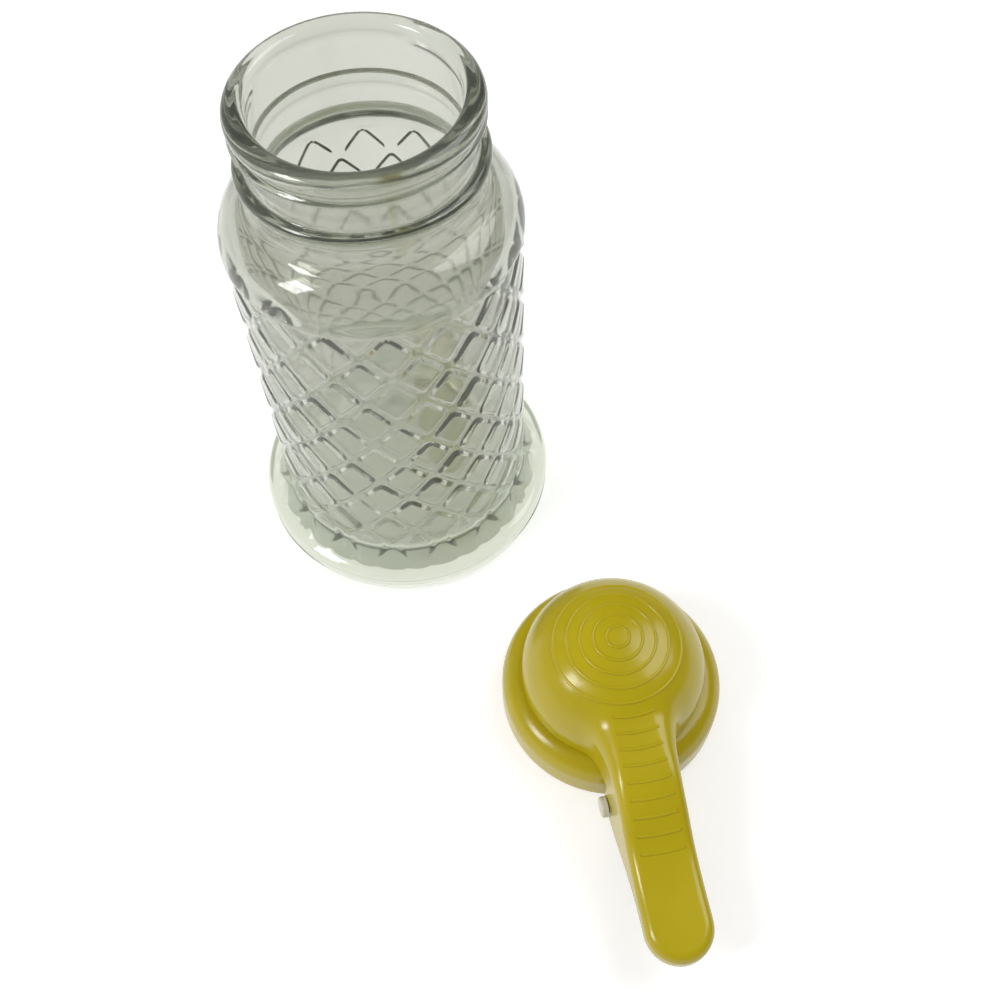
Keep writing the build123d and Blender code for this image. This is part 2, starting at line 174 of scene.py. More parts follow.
LEG_PAST = 0.6  # beyond the rib's middle
LEG_CLEAR = 0.1  # off the skirt
LEG_LIFT = 0.2  # above the ears' foot
ABOVE_LID = 50.0
# room round a moulded form, lowest and highest corner, and the spacing of its mesh
COVER_ROOM = (-26.5, -26.5, 0.8), (26.5, 80.4, 38.0), 0.5
EAR_ROOM = (-8.0, 27.0, 1.8), (8.0, 40.5, 12.4), 0.4
LID_X = 47.7
LID_Y = -85.8
LID_TURN = -179.0  # handle towards the viewer
LID_PLACE = Matrix.Translation((LID_X * MM, LID_Y * MM, 0)) @ Matrix.Rotation(math.radians(LID_TURN), 4, "Z")
# (distance from the lid's axis, top height, half width, corner radius) along the lever
LEVER = np.array([
    (0.0, 35.0, 14.4, 9.0), (12.0, 33.6, 13.4, 9.0), (20.0, 31.4, 12.0, 7.6), (28.0, 30.3, 9.7, 4.8),
    (36.0, 28.9, 8.8, 3.0), (44.0, 25.9, 8.7, 2.6), (52.0, 22.3, 8.7, 2.6), (60.0, 20.6, 8.7, 2.6),
    (70.0, 20.0, 8.7, 2.6), (81.2, 19.2, 8.7, 2.6),
])


# ---- making meshes ----------------------------------------------------------------------
def mesh_object(name, points, faces, place=None, edges=()):
    """A new smooth-shaded mesh from points in millimetres, put in its place."""
    mesh = bpy.data.meshes.new(name)
    mesh.from_pydata([tuple(p) for p in np.asarray(points) * MM], list(edges), [tuple(f) for f in faces])
    if place is not None:
        mesh.transform(place)
    mesh.validate()
    mesh.shade_smooth()
    piece = bpy.data.objects.new(name, mesh)
    bpy.context.scene.collection.objects.link(piece)
    return piece


def give_material(piece, material):
    """Leaves one material on a piece."""
    piece.data.materials.clear()
    piece.data.materials.append(material)


def finish_piece(piece, body, slot, material, *nodes):
    """Gives a piece its material and its body, and hides the CAD nodes it stands for."""
    give_material(piece, material)
    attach(piece, body)
    if nodes:
        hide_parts(*nodes)
    return piece


def arc(centre, radius, start, end, steps):
    """Points on an arc in the profile plane, angles in degrees, without the first one."""
    turns = np.radians(np.linspace(start, end, steps + 1)[1:])
    return [(centre[0] + radius * math.cos(t), centre[1] + radius * math.sin(t)) for t in turns]


def spun(name, profile, around, place=None):
    """Closed ring of revolution from a closed profile of (radius, height)."""
    turns = np.linspace(0, 2 * np.pi, around, endpoint=False)
    profile = np.asarray(profile)
    r, z = profile[:, 0][:, None], profile[:, 1][:, None]
    points = np.stack([r * np.cos(turns), r * np.sin(turns), z + 0 * turns], -1).reshape(-1, 3)
    rows = len(profile)
    faces = []
    for i in range(rows):
        j = (i + 1) % rows
        for k in range(around):
            n = (k + 1) % around
            faces.append((i * around + k, i * around + n, j * around + n, j * around + k))
    piece = mesh_object(name, points, faces, place)
    return outward(piece)


def outward(piece):
    """Merges doubled points and turns every face outwards."""
    mesh = bmesh.new()
    mesh.from_mesh(piece.data)
    bmesh.ops.remove_doubles(mesh, verts=mesh.verts, dist=1e-6)
    bmesh.ops.recalc_face_normals(mesh, faces=mesh.faces)
    mesh.to_mesh(piece.data)
    mesh.free()
    return piece


def eased(share):
    """A share from 0 to 1 with a smooth start and end."""
    share = np.clip(share, 0, 1)
    return share * share * (3 - 2 * share)


# ---- node trees -------------------------------------------------------------------------
def feed(tree, socket, value):
    """Sets a socket to a number, or links another node's output to it."""
    if isinstance(value, bpy.types.NodeSocket):
        tree.links.new(value, socket)
    else:
        socket.default_value = value


def math_node(tree, operation, *values):
    """Math on numbers or outputs."""
    node = tree.nodes.new("ShaderNodeMath")
    node.operation = operation
    for socket, value in zip(node.inputs, values):
        feed(tree, socket, value)
    return node.outputs[0]


def range_node(tree, value, low, high, at_low, at_high):
    """Map Range: at_low where the value is low, at_high where it is high."""
    node = tree.nodes.new("ShaderNodeMapRange")
    labels = ("Value", "From Min", "From Max", "To Min", "To Max")
    for label, item in zip(labels, (value, low, high, at_low, at_high)):
        feed(tree, node.inputs[label], item)
    return node.outputs["Result"]


def mix_node(tree, factor, first, second):
    """The first value where the factor is 0, the second where it is 1."""
    node = tree.nodes.new("ShaderNodeMix")
    for label, item in zip(("Factor", "A", "B"), (factor, first, second)):
        feed(tree, node.inputs[label], item)
    return node.outputs["Result"]


def noise_node(tree, scale, detail):
    """Noise on the piece's own coordinates."""
    place, noise = tree.nodes.new("ShaderNodeTexCoord"), tree.nodes.new("ShaderNodeTexNoise")
    feed(tree, noise.inputs["Scale"], scale)
    noise.inputs["Detail"].default_value = detail
    tree.links.new(place.outputs["Object"], noise.inputs["Vector"])
    return noise.outputs["Fac"]


def bump_node(tree, height, strength, distance):
    """The normal that a height gives."""
    node = tree.nodes.new("ShaderNodeBump")
    node.inputs["Strength"].default_value = strength
    node.inputs["Distance"].default_value = distance
    tree.links.new(height, node.inputs["Height"])
    return node.outputs["Normal"]


# ---- jar --------------------------------------------------------------------------------
def s_curve(body_r, neck_r, round_out, round_in, steps):
    """Convex then concave arc from the body up to the neck."""
    low = (body_r - round_out, BAND_TOP)
    across = neck_r + round_in - low[0]
    rise = math.sqrt((round_out + round_in) ** 2 - across**2)
    turn = math.degrees(math.acos(across / (round_out + round_in)))
    high = (neck_r + round_in, BAND_TOP + rise)
    return arc(low, round_out, 0, turn, steps) + arc(high, round_in, 180 + turn, 180, steps)


def flare_radius(z):
    """Outside of the glass under the cushions, which flares out to the foot."""
    drop = np.clip(FLARE_TOP - z, 0, FLARE_TOP - FLANGE_H)
    return GROOVE_R + FLARE - np.sqrt(FLARE**2 - drop**2)


def lattice():
    """Flat mesh of the band whose lines follow the grooves: x in cells, y in millimetres."""
    cuts = MESH_LINES / CELL_INRADIUS / 2
    cuts = np.concatenate([cuts, [0.5], 1 - cuts[:0:-1]]) - 0.5
    rows = int((FIRST_ROW - BAND_LOW) / ROW_PITCH / 2)
    p = np.concatenate([k + cuts for k in range(-rows - 2, CELLS_ROUND + 3)])
    q = np.concatenate([k + cuts for k in range(-2, CELLS_ROUND + rows + 3)])
    P, Q = np.meshgrid(p, q, indexing="ij")
    points = np.stack([(P + Q) / 2, FIRST_ROW + (P - Q) * ROW_PITCH, 0 * P], -1).reshape(-1, 3)
    i, j = np.meshgrid(np.arange(len(p) - 1), np.arange(len(q) - 1), indexing="ij")
    first = (i * len(q) + j).ravel()
    faces = np.stack([first, first + len(q), first + len(q) + 1, first + 1], 1)
    centre = points[faces].mean(1)
    near = (centre[:, 0] > -0.2) & (centre[:, 0] < CELLS_ROUND + 0.2)
    near &= (centre[:, 1] > BAND_LOW - 3) & (centre[:, 1] < BAND_TOP + 3)
    faces = faces[near]
    used, faces = np.unique(faces, return_inverse=True)
    flat = bmesh.new()
    verts = [flat.verts.new(points[k]) for k in used]
    for a, b, c, d in faces.reshape(-1, 4):
        flat.faces.new((verts[a], verts[b], verts[c], verts[d]))

    def cut(co, no, clear):
        """Cuts the mesh along a line, and clears what is past it if asked."""
        geom = flat.verts[:] + flat.edges[:] + flat.faces[:]
        bmesh.ops.bisect_plane(flat, geom=geom, dist=1e-5, plane_co=co, plane_no=no, clear_outer=clear)

    cut((0, 0, 0), (-1, 0, 0), True)
    cut((CELLS_ROUND, 0, 0), (1, 0, 0), True)
    cut((0, BAND_LOW, 0), (0, -1, 0), True)
    cut((0, BAND_TOP, 0), (0, 1, 0), True)
    for drop in EDGE_LINES:
        cut((0, BAND_TOP - drop, 0), (0, 1, 0), False)
    return flat


def glass_finish(theta, z):
    """How far the helical thread stands out of the finish at an angle and height."""
    turn = np.mod(theta - math.radians(THREAD_START), 2 * np.pi) / (2 * np.pi)
    centre = JAR_H - THREAD_DROP + turn * THREAD_PITCH
    ends = eased(np.minimum(turn, THREAD_TURNS - turn) / THREAD_RUN_OUT)
    across = np.clip(np.abs(z - centre) / THREAD_HALF, 0, 1)
    return (LIP_R - ROOT_R) * ends * np.cos(across * np.pi / 2) ** 1.2


def jar_mesh():
    """One closed skin: quilted band, shoulder, neck and finish, inside, foot."""
    flat = lattice()
    for v in flat.verts:
        v.co.x = v.co.x % CELLS_ROUND if v.co.x > CELLS_ROUND - 1e-4 else v.co.x
    bmesh.ops.remove_doubles(flat, verts=flat.verts, dist=2e-5)
    flat.verts.index_update()
    xy = np.array([v.co[:2] for v in flat.verts])
    faces = [tuple(v.index for v in f.verts) for f in flat.faces]
    flat.free()
    theta = math.radians(CELL_PHASE) + xy[:, 0] * 2 * np.pi / CELLS_ROUND
    z = xy[:, 1]
    cells = np.stack([xy[:, 0] + (z - FIRST_ROW) / ROW_PITCH / 2,
                      xy[:, 0] - (z - FIRST_ROW) / ROW_PITCH / 2], 1)
    radius = flare_radius(z)
    points = [np.stack([radius * np.cos(theta), radius * np.sin(theta), z], 1)]
    count = len(xy)

    def loop_at(height):
        ids = np.where(np.abs(z - height) < 1e-3)[0]
        return ids[np.argsort(theta[ids])]

    def grow(ids, profile, shift=None, up=True):
        """Rows of the profile on the loop's own angles, joined to it; closes at the axis."""
        nonlocal count
        turns = theta[ids]
        before = ids
        for r, h in profile:
            if r < 1e-6:
                points.append(np.array([[0, 0, h]]))
                for k in range(len(before)):
                    a, b = before[k], before[(k + 1) % len(before)]
                    faces.append((a, b, count) if up else (b, a, count))
                count += 1
                return
            rr = np.full(len(turns), float(r)) + (shift(turns, h, r) if shift else 0)
            points.append(np.stack([rr * np.cos(turns), rr * np.sin(turns), np.full(len(turns), h)], 1))
            now = np.arange(count, count + len(turns))
            for k in range(len(turns)):
                n = (k + 1) % len(turns)
                face = (before[k], before[n], now[n], now[k])
                faces.append(face if up else face[::-1])
            before = now
            count += len(turns)

    grow(loop_at(BAND_TOP), upper_profile(), upper_shift)
    grow(loop_at(BAND_LOW), foot_profile(), None, False)
    everything = np.concatenate(points)
    cell = np.full((len(everything), 2), 0.5)
    cell[: len(cells)] = cells
    band = np.zeros(len(everything))
    band[: len(cells)] = eased((z - BAND_LOW) / BAND_FADE)
    lean = np.clip(FLARE_TOP - z, 0, FLARE_TOP - FLANGE_H) / FLARE
    ahead = np.zeros((len(everything), 3))
    flat_part = np.sqrt(1 - lean**2)
    ahead[: len(cells)] = np.stack([flat_part * np.cos(theta), flat_part * np.sin(theta), lean], 1)
    return everything, faces, cell, band, ahead


def upper_profile():
    """(radius, height) from the band's top over the lip and down the inside to the axis."""
    rows = s_curve(BODY_R, NECK_R, SHOULDER_R, NECK_FILLET, 10)
    rows += [(NECK_R, BEAD_Z - 4.4), (NECK_R, BEAD_Z - 2.8), (NECK_R + 0.1, BEAD_Z - 2.2)]
    rows += arc((NECK_R - 0.1, BEAD_Z), BEAD_ROUND, -72, 90, 10)
    rows += [(NECK_R - 0.45, BEAD_Z + 2.1), (ROOT_R + 0.05, BEAD_Z + 2.5)]
    rows += [(ROOT_R, h) for h in np.arange(*ROOT_SPAN, 0.36)]
    lip_z = JAR_H - LIP_DROP
    rows += arc((LIP_R - LIP_HALF, lip_z), LIP_HALF, -70, 0, 7)
    rows += arc((LIP_R - LIP_DROP, lip_z), LIP_DROP, 0, 90, 9)
    rows += [(BORE_R + LIP_ROUND, JAR_H)]
    rows += arc((BORE_R + LIP_ROUND, JAR_H - LIP_ROUND), LIP_ROUND, 90, 180, 6)
    inner = GROOVE_R - GLASS
    neck = s_curve(inner, BORE_R, SHOULDER_R - GLASS, NECK_FILLET + GLASS, 9)
    rows += [(BORE_R, h) for h in np.linspace(JAR_H - 4, neck[-1][1] + 2, 6)]
    rows += neck[::-1]
    rows += [(inner, h) for h in np.linspace(BAND_TOP, FLOOR_T + FLOOR_ROUND, 26)]
    rows += arc((inner - FLOOR_ROUND, FLOOR_T + FLOOR_ROUND), FLOOR_ROUND, 0, -90, 8)
    return rows + [(r, FLOOR_T) for r in (20, 12, 5, 1, 0)]


def upper_shift(turns, height, radius):
    """Thread on the finish, and the slight waves of blown glass below it."""
    low, high = THREAD_SPAN
    if low < height < high and ROOT_R - 0.01 <= radius < LIP_R + 0.1:
        return np.minimum(glass_finish(turns, height), max(0.0, LIP_R - radius))
    low, high = WAVE_SPAN
    if low < height < high and BORE_R - 0.5 < radius <= GROOVE_R - GLASS + 0.01:
        fade = min(1.0, (high - height) / 15, (height - low) / 10)
        waves = sum(share * np.sin(count * turns + height / rise + start)
                    for count, rise, start, share in WAVES)
        return WAVE_DEPTH * fade * waves
    return 0 * turns


def foot_profile():
    """(radius, height) from the band's lower edge round the ribbed foot to the axis below."""
    rows = [(float(flare_radius(np.array(h))), h) for h in (9.35, 9.1)]
    rows += [(FLANGE_R - 0.85, 8.85), (FLANGE_R - 0.45, 8.6), (FLANGE_R - 0.12, 8.2)]
    for k in reversed(range(FLANGE_RIBS)):
        mid = FLANGE_ROUND + (k + 0.5) * RIBBED_H / FLANGE_RIBS
        rows += [(FLANGE_R + RIB_PROUD * math.cos(math.pi / 2 * u), mid - RIB_HALF_H * u)
                 for u in (-1, -0.66, -0.33, 0, 0.33, 0.66, 1)]
    rows += arc((FLANGE_R - FLANGE_ROUND, FLANGE_ROUND), FLANGE_ROUND, -5, -90, 7)
    rows += [(39, 0), (PUNT_R + 0.6, 0), (PUNT_R - 0.2, 0.25), (PUNT_R - 1.4, 1.35), (PUNT_R - 2.4, PUNT_H)]
    return rows + [(r, PUNT_H) for r in (25, 15, 6, 1, 0)]


def quilting_tree():
    """Geometry nodes: lifts each diamond cell of the skin into a cushion with bevelled sides."""
    tree = bpy.data.node_groups.new("quilting", "GeometryNodeTree")
    face = tree.interface
    face.new_socket("Geometry", in_out="INPUT", socket_type="NodeSocketGeometry")
    for name in ("Relief", "Groove", "Bevel", "Crown", "Inradius", "Corner", "Band Top"):
        face.new_socket(name, in_out="INPUT", socket_type="NodeSocketFloat")
    face.new_socket("Glass", in_out="INPUT", socket_type="NodeSocketMaterial")
    face.new_socket("Geometry", in_out="OUTPUT", socket_type="NodeSocketGeometry")
    new, link = tree.nodes.new, tree.links.new
    source, sink = new("NodeGroupInput"), new("NodeGroupOutput")

    def calc(operation, *values):
        return math_node(tree, operation, *values)

    def named(name, kind="FLOAT"):
        node = new("GeometryNodeInputNamedAttribute")
        node.data_type = kind
        node.inputs["Name"].default_value = name
        return node.outputs["Attribute"]

    get = {s.name: s for s in source.outputs}
    # millimetres in from the groove's middle line, on both diagonals, with round corners
    near = [calc("MULTIPLY", calc("SUBTRACT", 0.5, named(axis)), get["Inradius"])
            for axis in ("cell_p", "cell_q")]
    near = [calc("MULTIPLY", n, 2.0) for n in near]
    reach = [calc("MAXIMUM", calc("SUBTRACT", get["Corner"], n), 0.0) for n in near]
    corner = calc("SQRT", calc("ADD", calc("MULTIPLY", reach[0], reach[0]),
                               calc("MULTIPLY", reach[1], reach[1])))
    inward = calc("SUBTRACT", get["Corner"], corner)
    deep = calc("MINIMUM", near[0], near[1])
    inward = calc("MINIMUM", inward, deep)

    def bevelled(distance, start, width, run="SMOOTHSTEP"):
        step = new("ShaderNodeMapRange")
        step.interpolation_type = run
        link(distance, step.inputs["Value"])
        link(start, step.inputs["From Min"])
        link(calc("ADD", start, width), step.inputs["From Max"])
        return step.outputs["Result"]

    side = bevelled(inward, get["Groove"], get["Bevel"], "LINEAR")
    crown = bevelled(inward, calc("ADD", get["Groove"], get["Bevel"]), get["Inradius"])
    rise = calc("ADD", calc("MULTIPLY", side, calc("SUBTRACT", 1.0, get["Crown"])),
                calc("MULTIPLY", crown, get["Crown"]))
    spot = new("GeometryNodeInputPosition")
    split = new("ShaderNodeSeparateXYZ")
    link(spot.outputs[0], split.inputs[0])
    height = calc("MULTIPLY", split.outputs["Z"], 1 / MM)
    start = calc("SUBTRACT", get["Band Top"], get["Bevel"])
    edge = bevelled(height, start, get["Bevel"])
    lift = calc("MULTIPLY", calc("MAXIMUM", rise, edge), get["Relief"])
    lift = calc("MULTIPLY", calc("MULTIPLY", lift, named("band")), MM)
    move = new("ShaderNodeVectorMath")
    move.operation = "SCALE"
    link(named("ahead", "FLOAT_VECTOR"), move.inputs[0])
    link(lift, move.inputs["Scale"])
    place = new("GeometryNodeSetPosition")
    link(get["Geometry"], place.inputs["Geometry"])
    link(move.outputs[0], place.inputs["Offset"])
    real = new("GeometryNodeRealizeInstances")
    paint = new("GeometryNodeSetMaterial")
    link(place.outputs[0], real.inputs[0])
    link(real.outputs[0], paint.inputs["Geometry"])
    link(get["Glass"], paint.inputs["Material"])
    link(paint.outputs[0], sink.inputs[0])
    return tree


def apply_tree(piece, tree, **values):
    """Runs a geometry tree on a piece and keeps the result as its plain mesh."""
    live = piece.modifiers.new(tree.name, "NODES")
    live.node_group = tree
    for item in tree.interface.items_tree:
        key = item.name.lower().replace(" ", "_")
        if item.item_type == "SOCKET" and item.in_out == "INPUT" and key in values:
            live[item.identifier] = values[key]
    bpy.context.view_layer.update()
    seen = piece.evaluated_get(bpy.context.evaluated_depsgraph_get())
    made = bpy.data.meshes.new_from_object(seen)
    piece.modifiers.remove(live)
    piece.data = made
    made.shade_smooth()
    return piece


def make_jar(glass):
    """The glass skin, its cells lifted into cushions by the geometry tree."""
    points, faces, cell, band, ahead = jar_mesh()
    jar = mesh_object("quilted_jar", points, faces)
    wrapped = np.abs(cell - np.round(cell))
    for name, values in (("cell_p", wrapped[:, 0]), ("cell_q", wrapped[:, 1]), ("band", band)):
        layer = jar.data.attributes.new(name, "FLOAT", "POINT")
        layer.data.foreach_set("value", values.astype(np.float32))
    layer = jar.data.attributes.new("ahead", "FLOAT_VECTOR", "POINT")
    layer.data.foreach_set("vector", ahead.astype(np.float32).ravel())
    apply_tree(jar, quilting_tree(), relief=CUSHION_H, groove=GROOVE_HALF, bevel=CUSHION_BEVEL,
               crown=CUSHION_CROWN, inradius=CELL_INRADIUS, corner=CUSHION_CORNER,
               band_top=BAND_TOP, glass=glass)
    outward(jar)
    for name in ("cell_p", "cell_q", "band", "ahead"):
        jar.data.attributes.remove(jar.data.attributes[name])
    return finish_piece(jar, "jar", "glass", glass, "glass_jar")


# ---- lid: smooth moulded forms from distances -------------------------------------------
def smooth_min(a, b, blend):
    """The lesser of two distances, with the corner between them rounded."""
    h = np.clip(0.5 + 0.5 * (b - a) / blend, 0, 1)
    return b + (a - b) * h - blend * h * (1 - h)


def smooth_max(a, b, blend):
    """The greater of two distances, with the corner between them rounded."""
    return -smooth_min(-a, -b, blend)


def dome_distance(p, inset):
    """Distance to the cover's round form, open downwards."""
    r, z = np.hypot(p[0], p[1]), p[2]
    across = DOME_R - DOME_ROUND
    up = math.sqrt((CROWN_R - DOME_ROUND) ** 2 - across**2)
    crown_z = LID_TOP - CROWN_R
    shoulder_z = crown_z + up
    crown = np.hypot(r, z - crown_z) - CROWN_R
    shoulder = np.hypot(r - across, z - shoulder_z) - DOME_ROUND
    wall = r - DOME_R
    on_crown = r * up < across * (z - crown_z)
    form = np.where(z < shoulder_z, wall, np.where(on_crown, crown, shoulder))
    return form + inset


def lever_distance(p, inset):
    """Distance to the handle's form, open downwards, with a round thumb end."""
    x, y, z = p
    top, half, corner = (np.interp(y, LEVER_Y, LEVER_FINE[:, k]) for k in range(3))
    centre = LEVER_END - LEVER_HALF
    side = np.where(y > centre, np.hypot(x, y - centre), np.abs(x)) - half + inset
    over = (z - top) * np.interp(y, LEVER_Y, LEVER_FINE[:, 3]) + inset
    corner = np.maximum(corner - inset / 2, LEVER_EDGE)
    qx, qz = side + corner, over + corner
    form = np.hypot(np.maximum(qx, 0), np.maximum(qz, 0)) + np.minimum(np.maximum(qx, qz), 0) - corner
    return np.maximum(form, LEVER_START - y)


def cubic_run(t, span, start, end, slope_start, slope_end):
    """Cubic from one value to the next, with the slope given at both."""
    return ((2 * t**3 - 3 * t**2 + 1) * start + (t**3 - 2 * t**2 + t) * span * slope_start
            + (-2 * t**3 + 3 * t**2) * end + (t**3 - t**2) * span * slope_end)


def smooth_sections():
    """The lever's sections on a fine ruler, with a cubic run between them, and the top's slope."""
    from_y = LEVER[:, 0]
    fine = np.arange(0, from_y[-1] + 0.1, 0.5)
    index = np.clip(np.searchsorted(from_y, fine, side="right") - 1, 0, len(from_y) - 2)
    span = from_y[index + 1] - from_y[index]
    t = (fine - from_y[index]) / span
    tables = []
    for values in LEVER[:, 1:].T:
        slopes = np.gradient(values, from_y)
        tables.append(cubic_run(t, span, values[index], values[index + 1], slopes[index], slopes[index + 1]))
    lean = np.gradient(tables[0], fine)
    return fine, np.stack(tables + [1 / np.sqrt(1 + lean**2)], 1)


LEVER_Y, LEVER_FINE = smooth_sections()


def underside_distance(y, z):
    """How far a point lies below the lower edge: deck, cheeks, and the rise to the thumb end."""
    top = TIP_UNDER - TIP_DROP
    slope = np.array((CHEEK_RISE - CHEEK_FRONT, top - CHEEK_FOOT))
    slope /= np.hypot(*slope)
    ramp = (y - CHEEK_FRONT) * slope[1] - (z - CHEEK_FOOT) * slope[0]
    lean = TIP_DROP / TIP_EASE
    ease = ((y - CHEEK_RISE) * lean - (z - top)) / math.hypot(1, lean)
    tip = smooth_min(ease, TIP_UNDER - z, blend=2.0)
    rise = np.where(y > RAMP_END, smooth_min(ramp, tip, blend=3.0), ramp)
    cheek = smooth_max(CHEEK_BACK - y, CHEEK_FOOT - z, CHEEK_ROUND)
    return smooth_min(COVER_FOOT - z, smooth_max(cheek, rise, CHEEK_ROUND), blend=0.6)


def cover_form(p):
    """Outside of cover and lever, ahead of its hollows."""
    return smooth_min(dome_distance(p, 0), lever_distance(p, 0), blend=2.6)


def cover_distance(p):
    """The whole moulding: outside, less the dome's hollow and the lever's channel, trimmed below."""
    x, y, z = p
    stem = smooth_max(np.hypot(x, y) - STEM_R, STEM_FOOT - z, blend=0.3)
    hollow = smooth_max(dome_distance(p, WALL), -stem, blend=0.5)
    rib = smooth_max(np.abs(y - RIB_AT) - RIB_HALF, RIB_FOOT - z, blend=0.4)
    channel = smooth_max(lever_distance(p, WALL), -dome_distance(p, 0), blend=0.6)
    channel = smooth_max(channel, -rib, blend=0.5)
    body = smooth_max(cover_form(p), -smooth_min(hollow, channel, blend=0.05), blend=0.5)
    body = smooth_max(body, underside_distance(y, z), blend=0.25)
    hole = np.hypot(y - PIN_Y, z - PIN_Z) - PIN_R - PIN_CLEAR
    return np.maximum(body, -hole)


def beside(axis, trim=slice(None)):
    """Slices of a grid without its last layer along an axis, and of the same one step on."""
    here, ahead = [trim] * 3, [trim] * 3
    here[axis], ahead[axis] = slice(0, -1), slice(1, None)
    return tuple(here), tuple(ahead)


def net(distance, low, high, step):
    """Surface net of a distance field: points moved on to the zero surface, and quads."""
    axes = [np.arange(low[k], high[k] + step, step) for k in range(3)]
    X, Y, Z = np.meshgrid(*axes, indexing="ij")
    field = distance((X, Y, Z))
    inside = field < 0
    total, hits = np.zeros(field.shape + (3,)), np.zeros(field.shape)
    grid = np.stack([X, Y, Z], -1)
    for axis in range(3):
        a, b = beside(axis)
        change = inside[a] != inside[b]
        share = np.where(change, field[a] / np.where(change, field[a] - field[b], 1), 0)
        spot = grid[a] + share[..., None] * (grid[b] - grid[a])
        # each crossed edge counts for the four cells round it
        for shift in ((0, 0), (0, 1), (1, 0), (1, 1)):
            cells, edges = [slice(0, -1)] * 3, [slice(None)] * 3
            for k, d in zip([k for k in range(3) if k != axis], shift):
                cells[k], edges[k] = slice(0, field.shape[k] - d), slice(d, None)
            cells, edges = tuple(cells), tuple(edges)
            total[cells] += change[edges][..., None] * spot[edges]
            hits[cells] += change[edges]
    cell = hits > 0
    number = np.full(field.shape, -1)
    number[cell] = np.arange(cell.sum())
    points = total[cell] / hits[cell][:, None]
    faces = []
    for axis in range(3):
        a, b = beside(axis, slice(1, -1))
        first, second = inside[a], inside[b]
        i, j, k = np.where(first != second)
        base = np.stack([i, j, k], 1) + 1
        base[:, axis] -= 1
        u, v = (axis + 1) % 3, (axis + 2) % 3
        corners = []
        for du, dv in ((1, 1), (0, 1), (0, 0), (1, 0)):
            at = base.copy()
            at[:, u] -= du
            at[:, v] -= dv
            corners.append(number[at[:, 0], at[:, 1], at[:, 2]])
        quad = np.stack(corners, 1)
        flip = second[i, j, k]
        quad[flip] = quad[flip][:, ::-1]
        faces.append(quad)
    points = settle(distance, points, 4)
    return points, np.concatenate(faces)


def slope_of(distance, points):
    """Value and gradient of a distance field at points."""
    here = distance(points.T)
    tiny = 0.02
    slope = [(distance((points + tiny * axis).T) - distance((points - tiny * axis).T)) / (2 * tiny)
             for axis in np.eye(3)]
    slope = np.stack(slope, 1)
    return here, slope


def settle(distance, points, rounds):
    """Moves points along the gradient on to the surface."""
    for _ in range(rounds):
        here, slope = slope_of(distance, points)
        size = np.maximum((slope**2).sum(1), 0.25)
        step = -(here / size)[:, None] * slope
        points = points + np.clip(step, -0.35, 0.35)
    return points


def make_cover(yellow):
    """Domed cover and thumb lever in one moulding."""
    points, faces = net(cover_distance, *COVER_ROOM)
    cover = mesh_object("domed_lever", points, faces, LID_PLACE)
    return finish_piece(cover, "lever", "yellow_plastic", yellow, "lever_cover")


def bead_tree(name):
    """Geometry nodes: sweeps a round bead along each line of the base mesh, capped at open ends."""
    tree = bpy.data.node_groups.new(name, "GeometryNodeTree")
    face = tree.interface
    face.new_socket("Geometry", in_out="INPUT", socket_type="NodeSocketGeometry")
    face.new_socket("Bead Radius", in_out="INPUT", socket_type="NodeSocketFloat")
    face.new_socket("Bead Sides", in_out="INPUT", socket_type="NodeSocketInt")
    face.new_socket("Plastic", in_out="INPUT", socket_type="NodeSocketMaterial")
    face.new_socket("Geometry", in_out="OUTPUT", socket_type="NodeSocketGeometry")
    new, link = tree.nodes.new, tree.links.new
    source, sink = new("NodeGroupInput"), new("NodeGroupOutput")
    line, ring = new("GeometryNodeMeshToCurve"), new("GeometryNodeCurvePrimitiveCircle")
    sweep, real, paint = (new("GeometryNodeCurveToMesh"), new("GeometryNodeRealizeInstances"),
                          new("GeometryNodeSetMaterial"))
    sweep.inputs["Fill Caps"].default_value = True
    link(source.outputs["Geometry"], line.inputs["Mesh"])
    link(source.outputs["Bead Radius"], ring.inputs["Radius"])
    link(source.outputs["Bead Sides"], ring.inputs["Resolution"])
    link(line.outputs["Curve"], sweep.inputs["Curve"])
    link(ring.outputs["Curve"], sweep.inputs["Profile Curve"])
    link(sweep.outputs["Mesh"], real.inputs["Geometry"])
    link(real.outputs["Geometry"], paint.inputs["Geometry"])
    link(source.outputs["Plastic"], paint.inputs["Material"])
    link(paint.outputs["Geometry"], sink.inputs[0])
    return tree


def on_top(points):
    """Drops points on to the cover's outside from above."""
    x, y = points[:, 0], points[:, 1]
    z = np.full(len(points), ABOVE_LID)
    for _ in range(60):
        z -= 0.8 * cover_form((x, y, z))
    return np.stack([x, y, z], 1)


def swept(name, lines, closed, radius, material):
    """Round beads or wire swept along lines of points on the lid."""
    edges, start = [], 0
    for line in lines:
        n = len(line)
        edges += [(start + k, start + (k + 1) % n) for k in range(n if closed else n - 1)]
        start += n
    piece = mesh_object(name, np.concatenate(lines), [], LID_PLACE, edges)
    apply_tree(piece, bead_tree(name + "_sweep"), bead_radius=radius * MM, bead_sides=12, plastic=material)
    return outward(piece)


def make_beads(name, lines, closed, yellow):
    """Raised lines on the cover: each line is dropped on the surface and swept with a bead."""
    sunk = []
    for line in lines:
        top = on_top(line)
        _, slope = slope_of(cover_form, top)
        slope /= np.linalg.norm(slope, axis=1)[:, None]
        sunk.append(top - slope * (LINE_R - LINE_PROUD))
    return finish_piece(swept(name, sunk, closed, LINE_R, yellow), "lever", "yellow_plastic", yellow)


def make_rings(yellow):
    """Rings round the crown."""
    lines = []
    for k in range(RINGS):
        r = RING_FIRST + RING_PITCH * k
        t = np.linspace(0, 2 * np.pi, 48 + 32 * k, endpoint=False)
        lines.append(np.stack([r * np.cos(t), r * np.sin(t), 0 * t], 1))
    return make_beads("crown_rings", lines, True, yellow)


